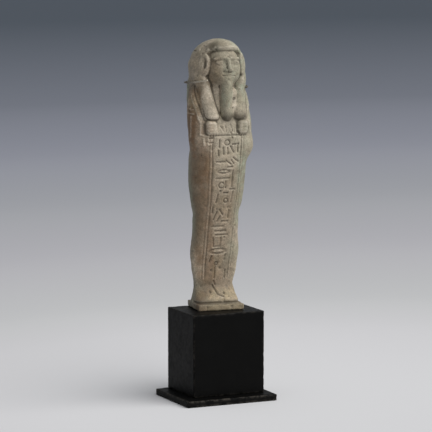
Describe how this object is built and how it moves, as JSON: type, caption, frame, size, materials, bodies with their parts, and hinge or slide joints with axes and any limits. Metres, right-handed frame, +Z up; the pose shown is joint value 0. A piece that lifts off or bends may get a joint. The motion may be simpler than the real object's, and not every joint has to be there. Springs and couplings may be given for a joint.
{
  "type": "ushabti figurine",
  "caption": "Mummiform funerary figurine with a plain wig, long beard and inscribed front, held by a wire cradle on a black stepped block.",
  "frame": {"origin": "middle of the slab's underside, which is also the bottom centre of the whole object's box", "axes": "+Z up, the figurine faces -Y, +X is the figurine's own left"},
  "size_m": [0.055, 0.045, 0.2021],
  "materials": {
    "faience": "matte, worn pale green glaze with buff and brown stains",
    "block_paint": "satin black paint, lightly worn edges",
    "slab_paint": "satin black paint, rubbed edges",
    "wire": "dark patinated wire with a bare bright tip"
  },
  "bodies": {
    "root": {"ushabti": "faience", "plinth_block": "block_paint", "plinth_slab": "slab_paint", "cradle_wire": "wire"}
  },
  "joints": []
}
